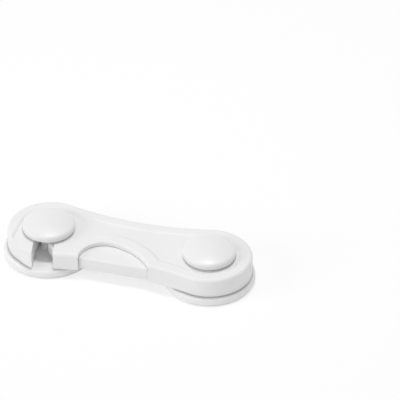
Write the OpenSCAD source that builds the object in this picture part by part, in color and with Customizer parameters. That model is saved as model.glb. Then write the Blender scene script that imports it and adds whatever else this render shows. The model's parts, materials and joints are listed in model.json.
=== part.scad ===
// Cabinet safety lock: a keeper stud and a pivot stud on adhesive discs, with a hook arm that swings
// about the pivot stud. A thumb button in the arm draws a spring-loaded catch out of the hook slot.
// Millimetres. +X runs from the keeper to the pivot, +Z away from the panel, and the origin lies on
// the panel, half the stud pitch from the pivot's axis towards the slot's blind end.

/* [Studs] */
// distance between the two stud axes
stud_pitch = 69; // [66:1:84]
// diameter of each adhesive base disc
base_d = 38; // [37:1:44]
// thickness of each base disc
base_t = 2.6; // [2.4:0.1:3.6]
// rounding of the disc's top edge
base_round = 1.0; // [0.4:0.1:1.4]
// thickness of the foam pad under each disc
pad_t = 0.9; // [0.6:0.1:1.6]
// how far the pad's edge lies inside the disc's edge
pad_inset = 0.4; // [0.2:0.1:1.5]
// diameter of each stud's stem
post_d = 7.4; // [7:0.1:7.9]
// how far the keeper's stem stands from the slot's blind end towards its mouth
seat_back = 0.9; // [0.5:0.1:1.1]
// diameter of each mushroom cap
cap_d = 21.8; // [19:0.2:24]
// height of each mushroom cap
cap_h = 4.5; // [4.2:0.1:5.5]
// radius of the cap's rounded rim
cap_rim_r = 1.5; // [1:0.1:1.8]
// radius of the cap's lower edge
cap_under_r = 0.7; // [0.3:0.1:0.9]
// radius of the cap's domed top
cap_dome_r = 30; // [26:1:40]

/* [Arm outline] */
// radius of the arm's two round ends
arm_r = 17.7; // [16.8:0.1:18.2]
// half width of the arm at its waist
arm_waist = 13.6; // [13:0.1:13.8]
// how far the outline's middle line lies behind the line of the studs
arm_shift = 0.4; // [0:0.1:0.6]
// thickness of the arm
arm_t = 8.1; // [7.6:0.1:10]
// rounding of the arm's top edge
arm_round = 1.35; // [0.6:0.05:1.5]
// radius of the hook's beak
beak_r = 16.5; // [16:0.1:17]
// how far the beak's middle lies from the round end's middle, towards the pivot
beak_in = 2.5; // [2:0.1:3]
// how far the beak's middle lies from the round end's middle, towards the slot's mouth
beak_out = 2.7; // [2.2:0.1:3]
// how far the block between slot and recess stands out past the waist
block_out = 0.5; // [0.2:0.1:0.8]
// rounding of the block's top edge
block_round = 1.7; // [0.8:0.1:1.8]
// width of the raised border round the top panel
border_w = 5.0; // [4:0.1:6]
// how far the top panel lies below its border
panel_drop = 0.5; // [0.3:0.1:0.7]
// width of the slope between border and panel
panel_ramp = 1.1; // [0.6:0.1:1.6]

/* [Arm walls] */
// thickness of the arm's outer wall
wall_t = 1.8; // [1.4:0.1:2]
// thickness of the wall round the hook slot
slot_wall_t = 1.6; // [1.2:0.1:1.8]
// thickness of the roof under the top panel
roof_t = 1.6; // [1.2:0.1:1.9]
// thickness of the back cover
cover_t = 1.2; // [1:0.1:1.6]
// radius of the boss round the pivot bore
boss_r = 7.0; // [6:0.1:8]

/* [Thumb recess] */
// radius of the half-moon recess's round end
moon_r = 10.7; // [10.2:0.1:11]
// radius of the recess's long side
moon_long_r = 25.5; // [23:0.5:26]
// turn of the round end past the deepest point before the long side takes over
moon_lean = 6.5; // [6:0.5:9]
// distance of the recess's deepest point from the keeper end's middle
moon_x = 27.8; // [27.5:0.1:28.4]
// distance of the recess's deepest point from the arm's middle line
moon_reach = 3.05; // [2.9:0.05:3.6]
// rounding of the recess's top edge
moon_round = 1.0; // [0.4:0.1:1.2]
// width of the raised band beside the recess
moon_band = 5.4; // [4:0.1:6.5]
// where the raised band has faded into the panel, from the keeper end's middle
fade_x = 19.5; // [18:0.5:21]
// length over which the band fades
fade_l = 7; // [5:0.5:9]

/* [Release mechanism] */
// travel of the button and of the catch
draw = 3.0; // [2.8:0.1:3.1]
// how far the catch's tooth reaches into the slot
tooth_bite = 2.7; // [2:0.1:2.8]
// play between the stem and the catch's tooth
tooth_play = 0.6; // [0.4:0.1:1]
// length of the tooth along the slot
tooth_l = 7.6; // [6.6:0.1:7.8]
// length of the tooth's flat tip
tip_l = 3.4; // [2.6:0.1:4]
// chamfer along the tooth's top edge
tooth_chamfer = 0.5; // [0.3:0.05:0.55]
// how far the tooth's top lies below the panel
tooth_sink = 1.2; // [1.1:0.1:1.4]
// how far the catch's body reaches from the keeper end's middle
body_reach = 11.2; // [10.8:0.1:11.4]
// how far the catch's bar reaches from the keeper end's middle
bar_reach = 26.5; // [26:0.1:27.5]
// thickness of the catch's bar
bar_t = 1.9; // [1.6:0.1:2.0]
// distance of the bar's back edge from the arm's middle line
bar_back = 6.9; // [6.7:0.1:7.2]
// width of the bar's strip in front of its window
strip_w = 1.9; // [1.6:0.1:2.1]
// how far the catch's shoulder runs on beside the tooth
shoulder_l = 1.9; // [1.4:0.1:2.2]
// length of the button's wedge
wedge_l = 3.5; // [3.2:0.1:3.7]
// width of the wedge's narrow end
wedge_w = 1.0; // [0.8:0.1:1.4]
// distance of the wedge's straight side from the keeper end's middle
wedge_reach = 18.5; // [18.2:0.1:18.8]
// how far the left end of the button's front lies past the waist
button_out_left = 0.5; // [0.1:0.1:0.7]
// how far the right end of the button's front lies past the waist
button_out_right = 0.1; // [-0.3:0.1:0.4]
// thickness of the button's plate
button_t = 2.0; // [1.6:0.1:2.1]
// thickness of the button's front wall
button_wall = 1.6; // [1.2:0.1:1.9]
// how far the cover's lip lies behind the button's front
lip_back = 0.4; // [0.2:0.1:0.8]
// rounding of the button's front top edge
button_round = 0.9; // [0.4:0.1:1.1]
// how far the button's plate reaches in under the recess's edge
plate_lap = 1.5; // [1:0.1:1.7]
// width of the ears that stop the button
ear_w = 2.3; // [1.8:0.1:2.4]
// room left in front of the bar when the button is pressed home
press_room = 0.5; // [0.4:0.1:0.7]
// length of the spring between its two seats
spring_l = 12.1; // [11.5:0.1:12.5]
// width of the spring's seats
seat_w = 4.2; // [3.8:0.1:4.4]
// thickness of the spring's fixed seat
seat_t = 1.6; // [1.4:0.1:2]
// radius of the spigots that hold the spring
spigot_r = 1.0; // [0.8:0.05:1.1]
// length of the spigots that hold the spring
spigot_l = 1.6; // [1.2:0.1:2]
// wire diameter of the catch's spring
wire_d = 0.5; // [0.4:0.05:0.6]
// mean diameter of the spring's curls
curl_d = 3.4; // [3.2:0.1:3.6]
// number of curls in the spring
curls = 8; // [6:1:9]

/* [Screws] */
// shank diameter of the cap screws
cap_screw_d = 2.8; // [2.4:0.1:3]
// head diameter of the cap screws
cap_screw_head_d = 5.6; // [5:0.1:6]
// shank diameter of the cover screws
cover_screw_d = 2.0; // [1.8:0.1:2.2]
// head diameter of the cover screws
cover_screw_head_d = 3.8; // [3.4:0.1:4.2]
// length of the cover screws
cover_screw_l = 4.8; // [4:0.1:5]

/* [Clearances] */
// radial clearance of the arm on the pivot stem
pivot_gap = 0.05; // [0.03:0.01:0.09]
// half of what the slot is wider than the keeper's stem
slot_gap = 0.65; // [0.6:0.05:0.8]
// how far the slot's middle lies nearer the pivot than the stem
slot_shift = 0.35; // [0.2:0.05:0.4]
// height of the arm above the base discs
arm_lift = 0.6; // [0.5:0.05:1]
// height of the caps above the arm's top edge
cap_lift = 0.3; // [0.25:0.05:0.6]
// end play of the pivot boss between disc and cap
end_play = 0.15; // [0.1:0.05:0.2]
// clearance round sliding parts
slide_gap = 0.2; // [0.15:0.05:0.3]
// clearance round fixed parts
fit_gap = 0.05; // [0.03:0.01:0.1]

/* [Hidden] */
$fn = 96;
eps = 0.01;
keeper = [-stud_pitch/2, 0];
pivot = [stud_pitch/2, 0];
keeper_at = [pivot[0] - sqrt(pow(stud_pitch, 2) - pow(seat_back, 2)), -seat_back];
post_r = post_d/2;
cap_r = cap_d/2;

// heights above the panel
base_z = pad_t + base_t;
arm_z0 = base_z + arm_lift;
arm_z1 = arm_z0 + arm_t;
panel_z = arm_z1 - panel_drop;
roof_z = panel_z - roof_t;
cover_z = arm_z0 + cover_t;
cap_z = arm_z1 + cap_lift;
slide_z0 = cover_z + slide_gap;
slide_z1 = roof_z - slide_gap;
button_z0 = slide_z1 - button_t;
bar_z1 = slide_z0 + bar_t;
spring_z = (slide_z0 + slide_z1)/2;

// the arm's outline: round ends joined by hollow sides that bite a hair into both
waist_bite = 0.04;
waist_tan_r = (pow(stud_pitch/2, 2) + pow(arm_waist, 2) - pow(arm_r, 2))/(2*(arm_r - arm_waist));
waist_y = arm_waist + waist_tan_r;
waist_r = waist_tan_r + waist_bite;
waist_way = [-pivot[0], waist_y]/norm([-pivot[0], waist_y]);
function bridge(d) = pivot + (arm_r - d)*waist_way + [-0.4, 0.4];
far = 30;
// how far each rounding stops short of running flush into its faces
skim = 0.005;
beak = keeper + [beak_in, -beak_out];

// hook slot: an arc about the pivot axis, so that the stem slides out as the arm swings
slot_h = post_r + slot_gap;
slot_mid_r = stud_pitch - slot_shift;
slot_in_r = slot_mid_r - slot_h;
slot_out_r = slot_mid_r + slot_h;
function slot_x(y) = pivot[0] - sqrt(pow(slot_in_r, 2) - y*y);
function slot_wall_x(y) = pivot[0] - sqrt(pow(slot_in_r - slot_wall_t, 2) - y*y);

// half-moon recess: a round end and a long side that cross by a hair, and the opening in the arm's side
moon_bite = 0.04;
moon = keeper + [moon_x, -moon_reach - moon_r];
long_moon = moon - (moon_long_r - moon_r + moon_bite)*[sin(moon_lean), cos(moon_lean)];
front_y = arm_shift - arm_waist;
open_y = front_y - block_out;
open_x0 = moon[0] - moon_r - 0.05;
open_x1 = long_moon[0] + sqrt(pow(moon_long_r, 2) - pow(open_y - long_moon[1], 2)) - slide_gap;
post_w = 1.6;

// slope between border and panel, run on above the border by over
over = 0.5;
slope = panel_ramp/panel_drop;
ramp_h = panel_drop + over;

// button: front face from its left end to its right end, and the plate behind it
button_x0 = open_x0 + slide_gap;
button_x1 = open_x1 - slide_gap;
button_y0 = front_y - button_out_left;
button_y1 = front_y - button_out_right;
button_back = -moon_reach + plate_lap;
button_foot = slide_z0;
ear_y = front_y + wall_t + slide_gap;
stop_y = ear_y - slide_gap;

// catch: tooth, shoulder behind the slot wall, bar with a slanted window, and spring seat
tooth_y = keeper_at[1] - post_r - tooth_play;
tooth_y0 = tooth_y - tooth_l;
tooth_x = slot_x(tooth_y) - tooth_bite;
tooth_root = [slot_x(tooth_y0) + 0.4, tooth_y0];
tooth_top = panel_z - tooth_sink;
shoulder_x = slot_wall_x(tooth_y) + slide_gap;
tall_x = tooth_root[0] + 0.3;
body_x = keeper[0] + body_reach;
bar_x = keeper[0] + bar_reach;
bar_y0 = max(button_y0, button_y1) + button_wall + draw + press_room;
wedge_y0 = bar_y0 + strip_w;
wedge_y1 = wedge_y0 + wedge_l;
wedge_x0 = keeper[0] + wedge_reach;
wedge_sum = wedge_x0 + wedge_w + wedge_y1;
seat_y = bar_back - seat_w/2;
seat_x = bar_x + spring_l;
tooth_tip = [tooth_x, tooth_y - tip_l];
function tooth_shape(x) = [[tooth_x, tooth_y], [x, tooth_y], [x, tooth_y0], tooth_root, tooth_tip];

// cover screws, in pairs of x and y
cover_screw_at = [keeper + [-11, 1.5], keeper + [14.5, 10.1],
    pivot + [-14.5, 9.6], pivot + [-14.5, -10]];
cover_boss_r = 2.5;
rib_t = 1.2;
guide_l = 10;
pilot_room = 0.4;
screw_room = 0.4;
cover_cross = [2.2, 0.5, 0.6];

// stem socket and cap screw
socket_r = post_r - 1.2;
socket_z = cap_z - 4;
head_z = pad_t + base_t - 0.4;
head_h = 1.7;
screw_top = cap_z + 1.4;
cap_cross = [3.2, 0.7, 1];

// stretches of the arm's edge: the back, the front from slot to recess, the front past it, and the beak
module back_side() translate([keeper[0], 0]) square([stud_pitch, arm_r + far]);
module block_side() translate([keeper[0] + 1.5, -arm_r - far]) square([moon[0] - keeper[0] - 4, arm_r + far]);
module pivot_side() translate([moon[0] - 3, -arm_r - far]) square([pivot[0] - moon[0] + 3, arm_r + far]);
module beak_side() translate([keeper[0] - far, -arm_r - far]) square([far + beak_in, arm_r + far]);
module upright() translate([0, 0, arm_z0 - 2]) linear_extrude(arm_t + 4) children();

// outline of the arm, drawn in by d from its edge
module arm_outline(d = 0) {
    translate([0, arm_shift]) difference() {
        union() {
            for (p = [keeper, pivot]) translate(p) circle(arm_r - d);
            translate(-bridge(d)) square(2*bridge(d));
        }
        translate([0, waist_y]) circle(waist_r + d);
        intersection() {
            translate([0, -waist_y]) circle(waist_r - block_out + d);
            block_side();
        }
        intersection() {
            translate([0, -waist_y]) circle(waist_r + d);
            pivot_side();
        }
    }
    intersection() {
        translate(beak) circle(beak_r - d);
        beak_side();
    }
}

// slot with its walls standing out by g
module slot_shape(g = 0) {
    translate(pivot - [slot_mid_r, 0]) circle(slot_h + g);
    intersection() {
        difference() {
            translate(pivot) circle(slot_out_r + g, $fn = 360);
            translate(pivot) circle(slot_in_r - g, $fn = 360);
        }
        translate([keeper[0] - 12, -far]) square([far, far]);
    }
}

// half plane past the line where the recess's long side takes over from its round end
module long_side() translate(moon) rotate(-moon_lean) translate([0, -2*far]) square(4*far);

// outline of the half-moon recess
module moon_shape() {
    translate(moon) circle(moon_r);
    intersection() {
        translate(long_moon) circle(moon_long_r, $fn = 240);
        long_side();
    }
}

// cone that crosses the slope's middle at radius r, wider (s = 1) or narrower (s = -1) upwards
module ramp_cone(r, s, low = 0) {
    r1 = r - s*(panel_ramp/2 + low*slope);
    r2 = r + s*(panel_ramp/2 + over*slope);
    translate([0, 0, panel_z - low]) cylinder(r1 = r1, r2 = r2, h = low + ramp_h);
}

// raised band beside the recess
module moon_rise() {
    translate(moon) ramp_cone(moon_r + moon_band, -1, 0.2);
    intersection() {
        translate(long_moon) ramp_cone(moon_long_r + moon_band, -1, 0.2, $fn = 240);
        translate([0, 0, panel_z - 1]) linear_extrude(ramp_h + 2) long_side();
    }
}

// what is taken off the top: the sunk panel, run out to the front edge on the hook and on the block
module panel_cut() {
    b = [bridge(border_w + panel_ramp/2)[0], bridge(border_w - panel_ramp/2 - over*slope)[1]];
    x0 = keeper[0] - arm_r + border_w + panel_ramp/2 + 0.03;
    x1 = keeper[0] + fade_x;
    difference() {
        translate([0, arm_shift, 0]) difference() {
            union() {
                for (p = [keeper, pivot]) translate(p) ramp_cone(arm_r - border_w, 1);
                translate([0, 0, panel_z]) linear_extrude(ramp_h) translate(-b) square(2*b);
            }
            for (s = [-1, 1]) translate([0, s*waist_y]) ramp_cone(waist_r + border_w, -1, 0.2, $fn = 240);
        }
        moon_rise();
    }
    translate([0, arm_shift, panel_z]) rotate([90, 0, 0]) linear_extrude(far)
        polygon([[x0, 0], [keeper[0], 0], [keeper[0], ramp_h], [x0 - slope*ramp_h, ramp_h]]);
    translate([0, border_w, panel_z]) rotate([90, 0, 0]) linear_extrude(far)
        polygon([[keeper[0] - 1, 0], [x1, 0], [x1 + fade_l*ramp_h/panel_drop, ramp_h],
            [keeper[0] - 1, ramp_h]]);
}

// corner to take off the outside of a turned edge of radius r at height z, leaving a rounding of radius f
module edge_out(r, f, z) {
    translate([r - f + skim, z - f + skim]) difference() {
        square(f + 1);
        circle(f);
    }
}

// the same for an edge with the material outside radius r
module edge_in(r, f, z) {
    translate([r + f - skim, z - f + skim]) difference() {
        translate([-f - 0.5, 0]) square([f + 0.5, f + 1]);
        circle(f);
    }
}

// round end of the arm with its top edge rounded
module arm_end(p, r) {
    translate(p) rotate_extrude() difference() {
        translate([0, arm_z0]) square([r, arm_t]);
        edge_out(r, arm_round, arm_z1);
    }
}

// what is taken off one long side, with a rounding of radius f under height z
module waist_cut(s, r, f, z) {
    translate([0, s*waist_y]) rotate_extrude($fn = 240) {
        translate([0, arm_z0 - 1]) square([r, arm_t + 2]);
        edge_in(r, f, z);
    }
}

// full-height arm with its top edge rounded all along
module arm_block() {
    translate([0, arm_shift, 0]) difference() {
        union() {
            for (p = [keeper, pivot]) arm_end(p, arm_r);
            translate([0, 0, arm_z0]) linear_extrude(arm_t) translate(-bridge(0)) square(2*bridge(0));
        }
        intersection() {
            waist_cut(1, waist_r, arm_round, arm_z1);
            upright() back_side();
        }
        intersection() {
            waist_cut(-1, waist_r, arm_round, arm_z1);
            upright() pivot_side();
        }
        intersection() {
            waist_cut(-1, waist_r - block_out, block_round, panel_z);
            upright() block_side();
        }
    }
    intersection() {
        arm_end(beak, beak_r);
        upright() beak_side();
    }
}

// hollow of the arm, open below, with walls, bosses and ribs left standing
module arm_hollow() {
    difference() {
        translate([0, 0, arm_z0 - 1]) linear_extrude(roof_z - arm_z0 + 1) difference() {
            arm_outline(wall_t);
            slot_shape(slot_wall_t);
            translate(pivot) circle(boss_r);
            translate([open_x0 - post_w, -arm_r]) square([post_w, arm_r + stop_y]);
        }
        translate([0, 0, cover_z]) linear_extrude(roof_z - cover_z + 1) {
            for (p = cover_screw_at) translate(p) circle(cover_boss_r);
            translate([seat_x, seat_y - seat_w/2]) square([seat_t, seat_w]);
            translate([seat_x + seat_t - eps, seat_y - rib_t/2])
                square([pivot[0] - seat_x - seat_t - boss_r + 1, rib_t]);
            translate([body_x + 1.5, bar_back + slide_gap]) square([guide_l, rib_t]);
        }
    }
}

// moulded arm with the hook slot, the thumb recess and the pivot boss
module arm_shell() {
    window_y = tooth_y0 - slide_gap;
    window_l = tooth_l + 2*slide_gap;
    color("white") difference() {
        union() {
            difference() {
                arm_block();
                panel_cut();
                arm_hollow();
            }
            translate([pivot[0], pivot[1], base_z + end_play])
                cylinder(r = boss_r, h = cap_z - base_z - 2*end_play);
            translate([seat_x + eps, seat_y, spring_z]) rotate([0, -90, 0])
                cylinder(r = spigot_r, h = spigot_l);
        }
        upright() slot_shape();
        translate([pivot[0], pivot[1], 0]) cylinder(r = post_r + pivot_gap, h = cap_z + 5);
        translate([0, 0, roof_z - 1]) linear_extrude(arm_t) moon_shape();
        translate(moon) rotate_extrude() edge_in(moon_r, moon_round, arm_z1);
        intersection() {
            translate(long_moon) rotate_extrude($fn = 240) edge_in(moon_long_r, moon_round, arm_z1);
            translate([0, 0, roof_z]) linear_extrude(arm_t) long_side();
        }
        translate([open_x0, -arm_r - 3, arm_z0 - 1])
            cube([open_x1 - open_x0, arm_r + 3 + ear_y, roof_z - arm_z0 + 1]);
        translate([keeper[0], window_y, cover_z + eps])
            cube([shoulder_x - keeper[0] + 2, window_l, roof_z - cover_z - eps]);
        translate([keeper[0], window_y, roof_z - eps])
            cube([tall_x + draw + slide_gap - keeper[0], window_l, tooth_top + slide_gap - roof_z + eps]);
        for (p = cover_screw_at) translate([p[0], p[1], arm_z0])
            cylinder(d = cover_screw_d + 2*fit_gap, h = cover_screw_l + pilot_room);
    }
}

// plate that closes the arm from below, with a lip that runs out under the button
module back_cover() {
    g = 2*fit_gap;
    color("white") difference() {
        translate([0, 0, arm_z0]) linear_extrude(cover_t - fit_gap) {
            difference() {
                arm_outline(wall_t + g);
                slot_shape(slot_wall_t + g);
                translate(pivot) circle(boss_r + g);
                translate([open_x0 - post_w - g, -arm_r - 1]) square([post_w + 2*g, arm_r + 1 + stop_y + g]);
            }
            polygon([[open_x0 + g, button_y0 + lip_back], [open_x1 - g, button_y1 + lip_back],
                [open_x1 - g, bar_y0], [open_x0 + g, bar_y0]]);
        }
        for (p = cover_screw_at) translate([p[0], p[1], arm_z0]) {
            translate([0, 0, -1]) cylinder(d = cover_screw_d + screw_room, h = cover_t + 2);
            translate([0, 0, -eps]) cylinder(d1 = cover_screw_head_d + screw_room/2,
                d2 = cover_screw_d + screw_room, h = (cover_screw_head_d - cover_screw_d)/2);
        }
    }
}

// cross recess cut up into a screw's head from below
module cross_recess(c) {
    for (a = [0, 90]) rotate(a) translate([-c[0]/2, -c[1]/2, -eps]) cube(c);
}

// countersunk screws that hold the back cover
module cover_screws() {
    head = (cover_screw_head_d - cover_screw_d)/2;
    color("silver") for (p = cover_screw_at) translate([p[0], p[1], arm_z0]) difference() {
        union() {
            cylinder(d1 = cover_screw_head_d, d2 = cover_screw_d, h = head);
            cylinder(d = cover_screw_d, h = cover_screw_l);
        }
        cross_recess(cover_cross);
    }
}

// half-moon thumb button: front wall, plate under the roof, and the wedge that draws the catch
module release_button() {
    lean = atan2(button_y1 - button_y0, button_x1 - button_x0);
    long = norm([button_x1 - button_x0, button_y1 - button_y0]);
    color("white") difference() {
        union() {
            translate([0, 0, button_z0]) linear_extrude(button_t) {
                polygon([[button_x0, button_y0], [button_x1, button_y1],
                    [button_x1, button_back], [button_x0, button_back]]);
                translate([button_x0 - ear_w, ear_y])
                    square([button_x1 - button_x0 + 2*ear_w, button_back - ear_y]);
            }
            translate([0, 0, button_foot]) linear_extrude(slide_z1 - button_foot)
                polygon([[button_x0, button_y0], [button_x1, button_y1],
                    [button_x1, button_y1 + button_wall], [button_x0, button_y0 + button_wall]]);
            translate([0, 0, slide_z0 + 0.1]) linear_extrude(button_z0 - slide_z0)
                polygon([[wedge_x0, wedge_y0], [wedge_sum - wedge_y0, wedge_y0],
                    [wedge_sum - wedge_y1, wedge_y1], [wedge_x0, wedge_y1]]);
        }
        translate([button_x0, button_y0, slide_z1]) rotate(lean) translate([-1, 0, 0]) rotate([90, 0, 90])
            linear_extrude(long + 2) difference() {
                translate([-1, -button_round]) square(button_round + 1);
                translate([button_round, -button_round]) circle(button_round);
            }
    }
}

// bar that takes the top edge off the tooth between two points of its outline
module edge_chamfer(a, b) {
    w = tooth_chamfer*sqrt(2);
    translate([a[0], a[1], tooth_top]) rotate(atan2(b[1] - a[1], b[0] - a[0])) rotate([45, 0, 0])
        translate([-1, -w/2, -w/2]) cube([norm(b - a) + 2, w, w]);
}

// sliding catch: tooth in the slot, window for the button's wedge, and spring seat
module catch() {
    color("white") {
        difference() {
            union() {
                translate([0, 0, slide_z0]) linear_extrude(slide_z1 - slide_z0) {
                    polygon(tooth_shape(body_x));
                    translate([shoulder_x, tooth_y - 1]) square([body_x - shoulder_x, shoulder_l + 1]);
                    translate([bar_x - 3, seat_y - seat_w/2]) square([3, seat_w]);
                }
                translate([0, 0, slide_z1]) linear_extrude(tooth_top - slide_z1) polygon(tooth_shape(tall_x));
                translate([body_x - 2, bar_y0, slide_z0]) cube([bar_x - body_x + 2, bar_back - bar_y0, bar_t]);
                translate([bar_x - eps, seat_y, spring_z]) rotate([0, 90, 0])
                    cylinder(r = spigot_r, h = spigot_l);
            }
            translate([0, 0, slide_z0 - 1]) linear_extrude(bar_t + 2) {
                polygon([[wedge_x0 - draw - slide_gap, wedge_y0 - slide_gap],
                    [wedge_sum - wedge_y0 + 2*slide_gap, wedge_y0 - slide_gap],
                    [wedge_sum - wedge_y1 - draw, wedge_y1 + draw + slide_gap],
                    [wedge_x0 - draw - slide_gap, wedge_y1 + draw + slide_gap]]);
            }
            edge_chamfer(tooth_tip, tooth_root);
        }
    }
}

// points along the spring's wire, and its least gap to itself
spring_a = bar_x + wire_d/2 + fit_gap;
spring_b = seat_x - wire_d/2 - fit_gap;
steps = 10;
spring_path = [for (i = [0:curls*steps]) let(a = 360*i/steps)
    [spring_a + (spring_b - spring_a)*i/(curls*steps), seat_y + curl_d/2*cos(a),
        spring_z + curl_d/2*sin(a)]];
spring_gaps = [for (i = [0:curls*steps], j = [i + 6:curls*steps]) norm(spring_path[i] - spring_path[j])];
spring_gap = min(spring_gaps) - wire_d;
echo(str("least gap of the spring's wire to itself ", spring_gap));

// coil spring as one unbroken tube
module catch_spring() {
    sides = 8;
    n = curls*steps;
    ring = [for (i = [0:n]) let(a = 360*i/steps, c = spring_path[i], out = [0, cos(a), sin(a)])
        for (k = [0:sides - 1]) c + wire_d/2*(cos(360*k/sides)*out + sin(360*k/sides)*[1, 0, 0])];
    sides_f = [for (i = [0:n - 1], k = [0:sides - 1])
        [i*sides + k, i*sides + (k + 1)%sides, (i + 1)*sides + (k + 1)%sides, (i + 1)*sides + k]];
    ends = [[for (k = [sides - 1:-1:0]) k], [for (k = [0:sides - 1]) n*sides + k]];
    color("silver") polyhedron(ring, concat(sides_f, ends));
}

// disc with a rounded top edge and the stem on it, hollowed for the screw and the cap's spigot
module stud_base(p) {
    color("white") translate([p[0], p[1], 0]) difference() {
        union() {
            rotate_extrude() {
                translate([0, pad_t]) square([base_d/2 - base_round, base_t]);
                translate([0, pad_t]) square([base_d/2, base_t - base_round]);
                translate([base_d/2 - base_round, base_z - base_round]) circle(base_round);
            }
            translate([0, 0, base_z - 1]) cylinder(r = post_r, h = cap_z - base_z + 1);
        }
        translate([0, 0, pad_t - 1]) cylinder(d = cap_screw_head_d + 2*screw_room, h = head_z - pad_t + 1);
        translate([0, 0, pad_t]) cylinder(d = cap_screw_d + screw_room, h = cap_z);
        translate([0, 0, socket_z]) cylinder(r = socket_r, h = 10);
    }
}

// mushroom cap: domed top with a thick rounded rim, and a spigot that drops into the stem
module stud_cap(p) {
    rim_x = cap_r - cap_rim_r;
    rim = [rim_x, cap_h - cap_dome_r + sqrt(pow(cap_dome_r - cap_rim_r, 2) - pow(rim_x, 2))];
    mid = cap_h - cap_dome_r;
    out = 2*(rim - [0, mid]) + [0, mid];
    color("white") translate([p[0], p[1], cap_z]) difference() {
        union() {
            rotate_extrude() {
                square([cap_r - cap_under_r, rim[1]]);
                translate([0, cap_under_r]) square([cap_r, rim[1] - cap_under_r]);
                translate([cap_r - cap_under_r, cap_under_r]) circle(cap_under_r);
                translate(rim) circle(cap_rim_r);
                intersection() {
                    translate([0, mid]) circle(cap_dome_r, $fn = 240);
                    polygon([[0, 0], [rim_x, 0], rim, out, [0, 2*cap_dome_r]]);
                }
            }
            translate([0, 0, socket_z - cap_z + 0.2]) cylinder(r = socket_r - fit_gap, h = cap_z - socket_z);
        }
        translate([0, 0, socket_z - cap_z - 1])
            cylinder(d = cap_screw_d + 2*fit_gap, h = screw_top - socket_z + 1.3);
    }
}

// pan-head screw that holds a cap
module stud_screw(p) {
    color("silver") translate([p[0], p[1], 0]) difference() {
        union() {
            translate([0, 0, head_z - head_h]) cylinder(d = cap_screw_head_d, h = head_h);
            translate([0, 0, head_z - eps]) cylinder(d = cap_screw_d, h = screw_top - head_z);
        }
        translate([0, 0, head_z - head_h]) cross_recess(cap_cross);
    }
}

// foam adhesive pad under a disc
module stud_pad(p) {
    color("gainsboro") translate([p[0], p[1], 0]) cylinder(d = base_d - 2*pad_inset, h = pad_t);
}

module pivot_pad() { stud_pad(pivot); }
module pivot_base() { stud_base(pivot); }
module pivot_cap() { stud_cap(pivot); }
module pivot_screw() { stud_screw(pivot); }
module keeper_pad() { stud_pad(keeper_at); }
module keeper_base() { stud_base(keeper_at); }
module keeper_cap() { stud_cap(keeper_at); }
module keeper_screw() { stud_screw(keeper_at); }

pivot_pad();
pivot_base();
pivot_cap();
pivot_screw();
keeper_pad();
keeper_base();
keeper_cap();
keeper_screw();
arm_shell();
back_cover();
cover_screws();
release_button();
catch();
catch_spring();
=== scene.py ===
"""Looks for the cabinet safety lock: white mouldings, foam pads, plated screws and a soft white studio."""
import json
import math

import bmesh
import bpy
from mathutils import Matrix, Vector


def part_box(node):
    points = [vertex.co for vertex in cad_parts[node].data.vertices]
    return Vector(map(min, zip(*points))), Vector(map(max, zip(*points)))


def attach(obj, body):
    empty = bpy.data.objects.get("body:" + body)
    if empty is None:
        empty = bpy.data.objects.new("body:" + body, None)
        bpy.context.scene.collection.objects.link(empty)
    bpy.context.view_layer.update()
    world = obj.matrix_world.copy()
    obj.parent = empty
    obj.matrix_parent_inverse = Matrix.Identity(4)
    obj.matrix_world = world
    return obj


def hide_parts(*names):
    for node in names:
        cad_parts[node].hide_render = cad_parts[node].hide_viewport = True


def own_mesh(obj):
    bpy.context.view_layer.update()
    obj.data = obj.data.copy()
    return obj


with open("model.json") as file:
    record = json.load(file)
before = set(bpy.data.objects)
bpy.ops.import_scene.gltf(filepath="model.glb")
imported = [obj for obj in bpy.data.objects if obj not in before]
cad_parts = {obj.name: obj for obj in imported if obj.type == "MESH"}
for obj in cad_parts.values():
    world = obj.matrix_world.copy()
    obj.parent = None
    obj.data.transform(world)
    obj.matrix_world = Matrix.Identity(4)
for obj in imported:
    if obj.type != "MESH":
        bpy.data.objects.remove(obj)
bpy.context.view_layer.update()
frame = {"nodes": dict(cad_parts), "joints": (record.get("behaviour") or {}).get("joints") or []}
nodes = frame["nodes"]
joints = {joint["name"]: joint for joint in frame["joints"]}

MM = 0.001
SMOOTH_ANGLE = math.radians(40)

# A Mix node's sockets for colours, which share their names with its sockets for numbers
MIX_SHARE = 0
MIX_FIRST = 6
MIX_SECOND = 7
MIX_RESULT = 2


def linear(code):
    """An sRGB hex colour as linear RGBA."""
    parts = [int(code[i:i + 2], 16) / 255 for i in (1, 3, 5)]
    return tuple(c / 12.92 if c <= 0.04045 else ((c + 0.055) / 1.055) ** 2.4 for c in parts) + (1.0,)


def per_mm(size):
    """Texture scale on metre coordinates for features this many millimetres apart."""
    return 1.0 / (size * MM)


def add(tree, kind, inputs=None, links=None, **settings):
    """One shader node with its settings, its socket values and the sockets that feed it."""
    node = tree.nodes.new(kind)
    for key, value in settings.items():
        setattr(node, key, value)
    for key, value in (inputs or {}).items():
        node.inputs[key].default_value = value
    for key, source in (links or {}).items():
        tree.links.new(source, node.inputs[key])
    return node


def new_material(name):
    """An empty node material, its node tree and the Object coordinates of the piece that wears it."""
    material = bpy.data.materials.new(name)
    material.use_nodes = True
    tree = material.node_tree
    tree.nodes.clear()
    place = add(tree, "ShaderNodeTexCoord").outputs["Object"]
    return material, tree, place


# Camera

# the sensor's width in millimetres, lengths on the photograph in pixels, and the scale at the origin
SENSOR = 36.0
FRAME_PX = 400.0
FOCAL_PX = 2800.0
PX_PER_MM = 2.41
VIEW_AZIMUTH = math.radians(16.2)
VIEW_ELEVATION = math.radians(36.5)
PIVOT_FOOT_PX = (209.2, 278.5)
# distances in metres
NEAREST_SEEN = 0.05
FARTHEST_SEEN = 20.0


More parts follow.
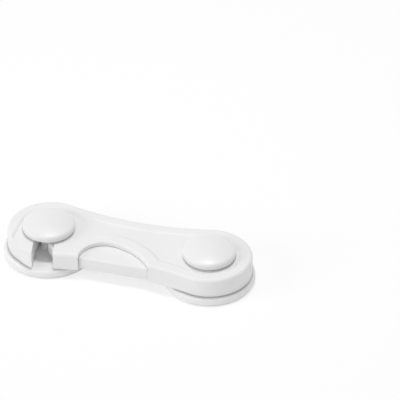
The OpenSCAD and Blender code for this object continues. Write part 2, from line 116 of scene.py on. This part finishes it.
def place_camera():
    """A long lens at the photograph's angle, with the foot of the pivot stud's axis at its pixel."""
    az, el = VIEW_AZIMUTH, VIEW_ELEVATION
    back = Vector((math.sin(az) * math.cos(el), -math.cos(az) * math.cos(el), math.sin(el)))
    right = Vector((math.cos(az), math.sin(az), 0))
    up = back.cross(right)
    pivot = joints["arm_swing"]["pos_m"]
    foot = Vector((pivot[0], pivot[1], 0))
    depth = FOCAL_PX / PX_PER_MM * MM - foot.dot(back)
    side = (PIVOT_FOOT_PX[0] - FRAME_PX / 2) * depth / FOCAL_PX
    drop = (PIVOT_FOOT_PX[1] - FRAME_PX / 2) * depth / FOCAL_PX
    eye = foot + back * depth - right * side + up * drop
    data = bpy.data.cameras.new("camera")
    data.sensor_width = SENSOR
    data.lens = FOCAL_PX / FRAME_PX * SENSOR
    data.clip_start = NEAREST_SEEN
    data.clip_end = FARTHEST_SEEN
    camera = bpy.data.objects.new("camera", data)
    turn = Matrix((right, up, back)).transposed().to_4x4()
    camera.matrix_world = Matrix.Translation(eye) @ turn
    bpy.context.scene.collection.objects.link(camera)
    bpy.context.scene.camera = camera


# Materials

# how far a moulding's roughness strays either way, and how much of its grain shows in that
GLOSS_SPREAD = 0.04
GRAIN_IN_GLOSS = 0.1


def moulded_abs(name, colour, shade, roughness, grain_mm, grain_depth_mm, edge_mm):
    """White ABS out of a steel mould. To the eye: a clean near white with a soft satin or polished
    gloss that varies a little from place to place, the faint grain of the mould's steel, a slow
    waviness where the plastic shrank, and edges that catch the light because no moulded edge is sharp."""
    material, tree, place = new_material(name)
    # flow clouds about a finger's width across, in tone and in gloss
    cloud = add(tree, "ShaderNodeTexNoise", {"Scale": per_mm(14), "Detail": 3.0}, {"Vector": place})
    tone = add(tree, "ShaderNodeMix", {MIX_FIRST: linear(colour), MIX_SECOND: linear(shade)},
               {MIX_SHARE: cloud.outputs["Fac"]}, data_type="RGBA")
    # the real grain is some hundredths of a millimetre, so it is drawn coarser to show at all
    grain = add(tree, "ShaderNodeTexNoise", {"Scale": per_mm(grain_mm), "Detail": 4.0}, {"Vector": place})
    mottle = add(tree, "ShaderNodeMath", {1: GRAIN_IN_GLOSS}, {0: grain.outputs["Fac"]},
                 operation="MULTIPLY")
    uneven = add(tree, "ShaderNodeMath", links={0: cloud.outputs["Fac"], 1: mottle.outputs[0]},
                 operation="ADD")
    # most of clouds and mottle together lies between these two levels
    gloss = add(tree, "ShaderNodeMapRange",
                {"From Min": 0.35, "From Max": 0.75,
                 "To Min": roughness - GLOSS_SPREAD, "To Max": roughness + GLOSS_SPREAD},
                {"Value": uneven.outputs[0]})
    wave = add(tree, "ShaderNodeTexNoise", {"Scale": per_mm(9), "Detail": 1.0}, {"Vector": place})
    soft_edge = add(tree, "ShaderNodeBevel", {"Radius": edge_mm * MM}, samples=6)
    slow = add(tree, "ShaderNodeBump", {"Strength": 0.3, "Distance": 0.05 * MM},
               {"Height": wave.outputs["Fac"], "Normal": soft_edge.outputs["Normal"]})
    fine = add(tree, "ShaderNodeBump", {"Strength": 0.5, "Distance": grain_depth_mm * MM},
               {"Height": grain.outputs["Fac"], "Normal": slow.outputs["Normal"]})
    skin = add(tree, "ShaderNodeBsdfPrincipled", {"IOR": 1.53},
               {"Base Color": tone.outputs[MIX_RESULT], "Roughness": gloss.outputs["Result"],
                "Normal": fine.outputs["Normal"]})
    add(tree, "ShaderNodeOutputMaterial", links={"Surface": skin.outputs["BSDF"]})
    return material


def natural_acetal():
    """Unfilled acetal, moulded. To the eye: a milky, very slightly warm white with a waxy gloss, and
    shadows softened by light that sinks in."""
    material, tree, place = new_material("natural_white_acetal")
    cloud = add(tree, "ShaderNodeTexNoise", {"Scale": per_mm(6), "Detail": 3.0}, {"Vector": place})
    tone = add(tree, "ShaderNodeMix", {MIX_FIRST: linear("#F0F0EE"), MIX_SECOND: linear("#EAEAE7")},
               {MIX_SHARE: cloud.outputs["Fac"]}, data_type="RGBA")
    wax = add(tree, "ShaderNodeMapRange", {"To Min": 0.3, "To Max": 0.4}, {"Value": cloud.outputs["Fac"]})
    soft_edge = add(tree, "ShaderNodeBevel", {"Radius": 0.25 * MM}, samples=6)
    slow = add(tree, "ShaderNodeBump", {"Strength": 0.3, "Distance": 0.03 * MM},
               {"Height": cloud.outputs["Fac"], "Normal": soft_edge.outputs["Normal"]})
    skin = add(tree, "ShaderNodeBsdfPrincipled",
               {"IOR": 1.48, "Subsurface Weight": 0.15, "Subsurface Scale": 0.6 * MM,
                "Subsurface Radius": (1.0, 1.0, 1.0)},
               {"Base Color": tone.outputs[MIX_RESULT], "Roughness": wax.outputs["Result"],
                "Normal": slow.outputs["Normal"]})
    add(tree, "ShaderNodeOutputMaterial", links={"Surface": skin.outputs["BSDF"]})
    return material


def closed_cell_foam():
    """Adhesive polyethylene foam, slit from a roll and die cut. To the eye: matt white with tiny
    closed cells, a little greyer between them: painted shade in the grooves between cells, stronger
    in random clouds."""
    material, tree, place = new_material("closed_cell_foam")
    # cells are about a fifth of a millimetre, drawn twice as large so that they show
    cells = add(tree, "ShaderNodeTexVoronoi", {"Scale": per_mm(0.4)}, {"Vector": place}, feature="F1")
    cloud = add(tree, "ShaderNodeTexNoise", {"Scale": per_mm(5), "Detail": 4.0}, {"Vector": place})
    # painted shade: the colour greys in the grooves that the bump presses in between cells, more so in
    # random clouds
    both = add(tree, "ShaderNodeMath", links={0: cells.outputs["Distance"], 1: cloud.outputs["Fac"]},
               operation="MULTIPLY")
    tone = add(tree, "ShaderNodeMix", {MIX_FIRST: linear("#EEEEEC"), MIX_SECOND: linear("#D8D8D4")},
               {MIX_SHARE: both.outputs[0]}, data_type="RGBA")
    dull = add(tree, "ShaderNodeMapRange", {"To Min": 0.8, "To Max": 0.95}, {"Value": cloud.outputs["Fac"]})
    pits = add(tree, "ShaderNodeBump", {"Strength": 0.6, "Distance": 0.08 * MM},
               {"Height": cells.outputs["Distance"]}, invert=True)
    skin = add(tree, "ShaderNodeBsdfPrincipled",
               {"IOR": 1.45, "Specular IOR Level": 0.25, "Sheen Weight": 0.15},
               {"Base Color": tone.outputs[MIX_RESULT], "Roughness": dull.outputs["Result"],
                "Normal": pits.outputs["Normal"]})
    add(tree, "ShaderNodeOutputMaterial", links={"Surface": skin.outputs["BSDF"]})
    return material


def bright_zinc():
    """Bright zinc plate on a cold-headed screw. To the eye: cool silver, softly mottled, with fine
    scratches from tumbling."""
    material, tree, place = new_material("bright_zinc_plate")
    crystal = add(tree, "ShaderNodeTexNoise", {"Scale": per_mm(0.8), "Detail": 4.0}, {"Vector": place})
    tone = add(tree, "ShaderNodeMix", {MIX_FIRST: linear("#C6C8CB"), MIX_SECOND: linear("#AEB1B5")},
               {MIX_SHARE: crystal.outputs["Fac"]}, data_type="RGBA")
    stretch = add(tree, "ShaderNodeMapping", {"Rotation": (0.3, 0.2, 0.6), "Scale": (1.0, 6.0, 6.0)},
                  {"Vector": place})
    scratch = add(tree, "ShaderNodeTexNoise", {"Scale": per_mm(0.9), "Detail": 3.0},
                  {"Vector": stretch.outputs[0]})
    dull = add(tree, "ShaderNodeMapRange", {"To Min": 0.22, "To Max": 0.42},
               {"Value": scratch.outputs["Fac"]})
    marks = add(tree, "ShaderNodeBump", {"Strength": 0.25, "Distance": 0.01 * MM},
                {"Height": scratch.outputs["Fac"]})
    skin = add(tree, "ShaderNodeBsdfPrincipled", {"Metallic": 1.0},
               {"Base Color": tone.outputs[MIX_RESULT], "Roughness": dull.outputs["Result"],
                "Normal": marks.outputs["Normal"]})
    add(tree, "ShaderNodeOutputMaterial", links={"Surface": skin.outputs["BSDF"]})
    return material


def drawn_wire():
    """Hard-drawn spring wire. To the eye: darker grey steel with a dull gloss, patchy from drawing soap."""
    material, tree, place = new_material("drawn_spring_wire")
    soap = add(tree, "ShaderNodeTexNoise", {"Scale": per_mm(0.7), "Detail": 3.0}, {"Vector": place})
    tone = add(tree, "ShaderNodeMix", {MIX_FIRST: linear("#A5A6A9"), MIX_SECOND: linear("#85868A")},
               {MIX_SHARE: soap.outputs["Fac"]}, data_type="RGBA")
    dull = add(tree, "ShaderNodeMapRange", {"To Min": 0.28, "To Max": 0.46}, {"Value": soap.outputs["Fac"]})
    skin = add(tree, "ShaderNodeBsdfPrincipled", {"Metallic": 1.0},
               {"Base Color": tone.outputs[MIX_RESULT], "Roughness": dull.outputs["Result"]})
    add(tree, "ShaderNodeOutputMaterial", links={"Surface": skin.outputs["BSDF"]})
    return material


def paint(names, material):
    """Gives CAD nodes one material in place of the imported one."""
    for name in names:
        nodes[name].data.materials.clear()
        nodes[name].data.materials.append(material)


# Modelling by hand

def pick(piece, kind, wanted):
    """In edit mode, selects only the vertices, edges or faces for which wanted(element) is true."""
    bpy.ops.mesh.select_mode(type=kind)
    bpy.ops.mesh.select_all(action="DESELECT")
    shape = bmesh.from_edit_mesh(piece.data)
    for element in {"VERT": shape.verts, "EDGE": shape.edges, "FACE": shape.faces}[kind]:
        if wanted(element):
            element.select_set(True)
    shape.select_flush_mode()
    bmesh.update_edit_mesh(piece.data)


# Foam pads, lengths in millimetres

# how far the rims stay inside the node's edge, and how much of that the side swells back halfway up
PAD_SHY = 0.14
PAD_BULGE = 0.12
# rounding of the pressed rims, and the flat ring inside them
PAD_RIM = 0.14
PAD_MARGIN = 1.0
# the dip of the face inside that ring, the width of its slope, and a wide ring of the dipped face
PAD_DIP = 0.04
PAD_DIP_SLOPE = 0.3
PAD_FACE_RING = 6.0
# how near a vertex lies to a height that it counts as on
SAME_HEIGHT = 0.02
PAD_SIDES = 144
PAD_BANDS = 6


def foam_pad(name, node, foam):
    """A die-cut foam disc: its side bulges between the pressed rims, and its faces dip inside a rim."""
    low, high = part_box(node)
    middle = (low + high) / 2
    thickness = high.z - low.z
    radius = (high.x - low.x) / 2 - PAD_SHY * MM
    bpy.ops.object.select_all(action="DESELECT")
    bpy.ops.mesh.primitive_cylinder_add(vertices=PAD_SIDES, radius=radius, depth=thickness, location=middle)
    pad = bpy.context.object
    pad.name = name
    bpy.ops.object.transform_apply(location=True, rotation=True, scale=True)
    bpy.ops.object.mode_set(mode="EDIT")
    # upright edges are cut into bands, and the rings between the bands are widened
    pick(pad, "EDGE", lambda e: abs(e.verts[0].co.z - e.verts[1].co.z) > thickness / 2)
    bpy.ops.mesh.subdivide(number_cuts=PAD_BANDS - 1)
    for band in range(1, PAD_BANDS):
        height = low.z + thickness * band / PAD_BANDS
        swell = 1 + PAD_BULGE * MM * math.sin(math.pi * band / PAD_BANDS) / radius
        pick(pad, "VERT", lambda v: abs(v.co.z - height) < SAME_HEIGHT * MM)
        bpy.ops.transform.resize(value=(swell, swell, 1), center_override=middle)
    # the rims are the edges between the side's squares and the two round faces
    pick(pad, "EDGE", lambda e: len(e.link_faces) == 2 and min(len(f.verts) for f in e.link_faces) == 4
         and max(len(f.verts) for f in e.link_faces) > 4)
    bpy.ops.mesh.bevel(offset=PAD_RIM * MM, segments=3)
    pick(pad, "FACE", lambda f: len(f.verts) > 4)
    bpy.ops.mesh.inset(thickness=PAD_MARGIN * MM, depth=0)
    bpy.ops.mesh.inset(thickness=PAD_DIP_SLOPE * MM, depth=-PAD_DIP * MM)
    bpy.ops.mesh.inset(thickness=PAD_FACE_RING * MM, depth=0)
    bpy.ops.object.mode_set(mode="OBJECT")
    bpy.ops.object.shade_smooth_by_angle(angle=SMOOTH_ANGLE)
    pad.data.materials.append(foam)
    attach(pad, "fixed_studs")
    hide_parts(node)


# Coil spring, lengths in millimetres

# wire thickness, diameter of a curl along the middle of its wire, and number of curls
WIRE = 0.5
CURL = 3.4
CURLS = 8
# corners of the wire's section, and sections in one curl
WIRE_SIDES = 14
CURL_STEPS = 40


def coil_spring(name, node, wire):
    """The catch's coil: round wire swept along its curls and closed at both ends."""
    low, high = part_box(node)
    middle = (low + high) / 2
    length = high.x - low.x
    start = Vector((low.x + WIRE * MM / 2, CURL * MM / 2, 0))
    bpy.ops.object.select_all(action="DESELECT")
    bpy.ops.mesh.primitive_circle_add(vertices=WIRE_SIDES, radius=WIRE * MM / 2, location=start)
    coil = bpy.context.object
    coil.name = name
    bpy.ops.object.transform_apply(location=True, rotation=True, scale=True)
    sweep = coil.modifiers.new("sweep", "SCREW")
    sweep.axis = "X"
    sweep.screw_offset = (length - WIRE * MM) / CURLS
    sweep.iterations = CURLS
    sweep.steps = CURL_STEPS
    sweep.render_steps = CURL_STEPS
    bpy.ops.object.modifier_apply(modifier="sweep")
    bpy.ops.object.mode_set(mode="EDIT")
    # the only open edges are the two wire ends
    for end in (low.x, high.x):
        pick(coil, "EDGE", lambda e: len(e.link_faces) == 1 and abs(e.verts[0].co.x - end) < length / 2)
        bpy.ops.mesh.edge_face_add()
    bpy.ops.mesh.select_all(action="SELECT")
    bpy.ops.mesh.normals_make_consistent(inside=False)
    bpy.ops.transform.translate(value=(0, middle.y, middle.z))
    bpy.ops.object.mode_set(mode="OBJECT")
    bpy.ops.object.shade_smooth_by_angle(angle=SMOOTH_ANGLE)
    coil.data.materials.append(wire)
    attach(coil, "arm")
    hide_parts(node)
    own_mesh(coil)


# Studio, lengths in metres and lamps in watts

FLOOR_WIDTH = 8.0
FLOOR_DROP = 0.02 * MM
# share of plain white in the floor that the camera sees, and strength of the surroundings as a light
FLOOR_WHITE = 0.67
SKY = 0.54
KEY = {"place": (-0.02, 0.09, 0.8), "size": (0.16, 0.12), "power": 2.3}
FILL = {"place": (-1.7, -1.35, 0.85), "size": (1.2, 1.0), "power": 15.0}
# light is passed on many times between white walls, so the slot and the gaps don't go black
WHITE_BOUNCES = 12


def seen_rays(tree):
    """A socket that is 1 for what the camera sees, directly, mirrored or through something clear, and 0
    for other light."""
    path = add(tree, "ShaderNodeLightPath")
    direct = add(tree, "ShaderNodeMath", operation="MAXIMUM",
                 links={0: path.outputs["Is Camera Ray"], 1: path.outputs["Is Glossy Ray"]})
    seen = add(tree, "ShaderNodeMath", operation="MAXIMUM",
               links={0: direct.outputs[0], 1: path.outputs["Is Transmission Ray"]})
    return seen.outputs[0]


def floor_paint():
    """Seamless white card: nearly white to the camera, with a light shadow, and bouncing light as card
    does."""
    material, tree, _ = new_material("white_card")
    share = add(tree, "ShaderNodeMath", {1: FLOOR_WHITE}, {0: seen_rays(tree)}, operation="MULTIPLY")
    card = add(tree, "ShaderNodeBsdfDiffuse", {"Color": linear("#FFFFFF")})
    glow = add(tree, "ShaderNodeEmission", {"Color": linear("#FFFFFF"), "Strength": 1.0})
    mix = add(tree, "ShaderNodeMixShader",
              links={0: share.outputs[0], 1: card.outputs[0], 2: glow.outputs[0]})
    add(tree, "ShaderNodeOutputMaterial", links={"Surface": mix.outputs[0]})
    return material


def softbox(name, place, size, power):
    """One rectangular lamp that faces the lock."""
    lamp = bpy.data.lights.new(name, "AREA")
    lamp.shape = "RECTANGLE"
    lamp.size, lamp.size_y = size
    lamp.energy = power
    box = bpy.data.objects.new(name, lamp)
    box.location = place
    box.rotation_euler = (-Vector(place)).to_track_quat("-Z", "Y").to_euler()
    bpy.context.scene.collection.objects.link(box)


def build_studio():
    """Wide white floor, even pale surroundings, a small key lamp overhead and a broad fill from the
    front left."""
    bpy.ops.object.select_all(action="DESELECT")
    bpy.ops.mesh.primitive_plane_add(size=FLOOR_WIDTH, location=(0, 0, -FLOOR_DROP))
    floor = bpy.context.object
    floor.name = "studio_floor"
    floor.data.materials.append(floor_paint())
    world = bpy.data.worlds.new("studio_world")
    bpy.context.scene.world = world
    world.use_nodes = True
    tree = world.node_tree
    tree.nodes.clear()
    dim = add(tree, "ShaderNodeBackground", {"Color": linear("#FFFFFF"), "Strength": SKY})
    white = add(tree, "ShaderNodeBackground", {"Color": linear("#FFFFFF"), "Strength": 1.0})
    mix = add(tree, "ShaderNodeMixShader",
              links={0: seen_rays(tree), 1: dim.outputs[0], 2: white.outputs[0]})
    add(tree, "ShaderNodeOutputWorld", links={"Surface": mix.outputs[0]})
    softbox("overhead_key", **KEY)
    softbox("front_left_fill", **FILL)


# The lock

bpy.context.scene.view_settings.view_transform = "Standard"
bpy.context.scene.cycles.diffuse_bounces = WHITE_BOUNCES
place_camera()
satin = moulded_abs("satin_white_abs", "#EEEEEE", "#EAEAEA", roughness=0.56, grain_mm=0.5,
                    grain_depth_mm=0.012, edge_mm=0.3)
polished = moulded_abs("polished_white_abs", "#ECECEC", "#E9E9E9", roughness=0.34, grain_mm=1.6,
                       grain_depth_mm=0.001, edge_mm=0.05)
paint(["arm_shell", "back_cover", "release_button", "keeper_base", "pivot_base"], satin)
paint(["keeper_cap", "pivot_cap"], polished)
paint(["catch"], natural_acetal())
paint(["keeper_screw", "pivot_screw", "cover_screws"], bright_zinc())
foam = closed_cell_foam()
foam_pad("keeper_foam_pad", "keeper_pad", foam)
foam_pad("pivot_foam_pad", "pivot_pad", foam)
coil_spring("catch_coil", "catch_spring", drawn_wire())
build_studio()
